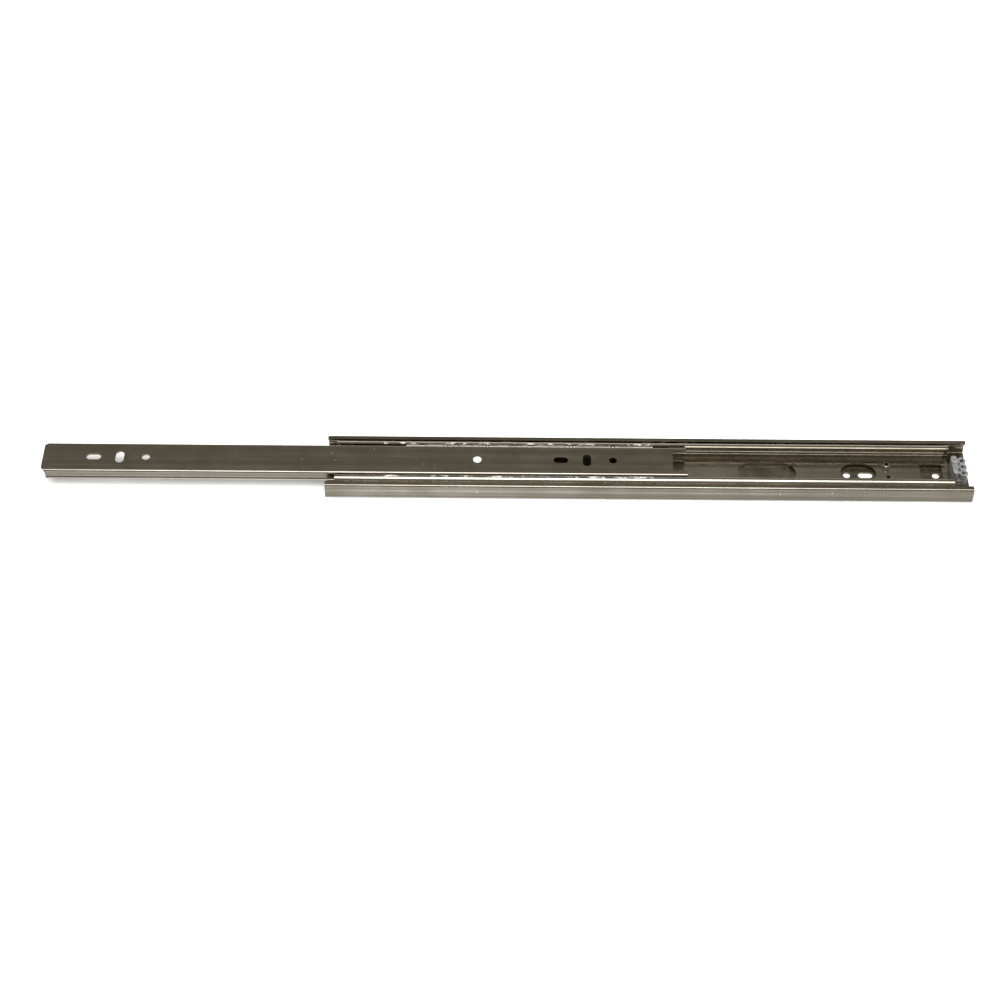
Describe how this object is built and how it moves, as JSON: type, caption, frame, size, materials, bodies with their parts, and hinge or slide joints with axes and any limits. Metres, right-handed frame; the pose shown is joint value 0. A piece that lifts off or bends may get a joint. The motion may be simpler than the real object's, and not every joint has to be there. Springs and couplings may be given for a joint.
{
  "type": "cabinet drawer slide",
  "caption": "Full-extension ball-bearing drawer slide: cabinet, middle and drawer members with cages, bumper and lever.",
  "frame": {"origin": "centre of the cabinet member's flat back face, at the middle of its length and width", "axes": "+X along the slide to its rear, -X towards the room, +Y across it, +Z away from the cabinet's wall"},
  "size_m": [0.5838, 0.0456, 0.0126],
  "materials": {
    "zinc_steel": "semi-gloss clear zinc plating",
    "cage_steel": "bright zinc plating",
    "ball_steel": "polished",
    "bumper_plastic": "mottled moulded grey",
    "lever_plastic": "natural acetal"
  },
  "bodies": {
    "outer": {"outer_member": "zinc_steel", "rear_bumper": "bumper_plastic"},
    "intermediate": {"intermediate_member": "zinc_steel"},
    "inner": {"inner_member": "zinc_steel"},
    "lever": {"release_lever": "lever_plastic"},
    "outer_cage": {"outer_ball_cage": "cage_steel", "outer_ball_back_1": "ball_steel", "outer_ball_back_2": "ball_steel", "outer_ball_back_3": "ball_steel", "outer_ball_back_4": "ball_steel", "outer_ball_back_5": "ball_steel", "outer_ball_front_1": "ball_steel", "outer_ball_front_2": "ball_steel", "outer_ball_front_3": "ball_steel", "outer_ball_front_4": "ball_steel", "outer_ball_front_5": "ball_steel"},
    "inner_cage": {"inner_ball_cage": "cage_steel", "inner_ball_back_1": "ball_steel", "inner_ball_back_2": "ball_steel", "inner_ball_back_3": "ball_steel", "inner_ball_back_4": "ball_steel", "inner_ball_back_5": "ball_steel", "inner_ball_front_1": "ball_steel", "inner_ball_front_2": "ball_steel", "inner_ball_front_3": "ball_steel", "inner_ball_front_4": "ball_steel", "inner_ball_front_5": "ball_steel"}
  },
  "joints": [
    {"name": "intermediate_slide", "type": "slide", "parent": "outer", "child": "intermediate", "axis": [-1, 0, 0], "range_m": [0, 0.172]},
    {"name": "inner_slide", "type": "slide", "parent": "intermediate", "child": "inner", "axis": [-1, 0, 0], "range_m": [-0.1758, 0.0209]},
    {"name": "outer_cage_slide", "type": "slide", "parent": "outer", "child": "outer_cage", "axis": [-1, 0, 0], "range_m": [0, 0.086]},
    {"name": "inner_cage_slide", "type": "slide", "parent": "intermediate", "child": "inner_cage", "axis": [-1, 0, 0], "range_m": [-0.0879, 0.01045]},
    {"name": "lever_pivot", "type": "hinge", "parent": "inner", "child": "lever", "pos_m": [-0.1076, 0, 0.0098], "axis": [0, 0, 1], "range_deg": [0, 6], "stiffness_Nm_per_rad": 0.05}
  ],
  "couplings": [
    {"joint": "outer_cage_slide", "follows": "intermediate_slide", "ratio": 0.5},
    {"joint": "inner_cage_slide", "follows": "inner_slide", "ratio": 0.5}
  ]
}
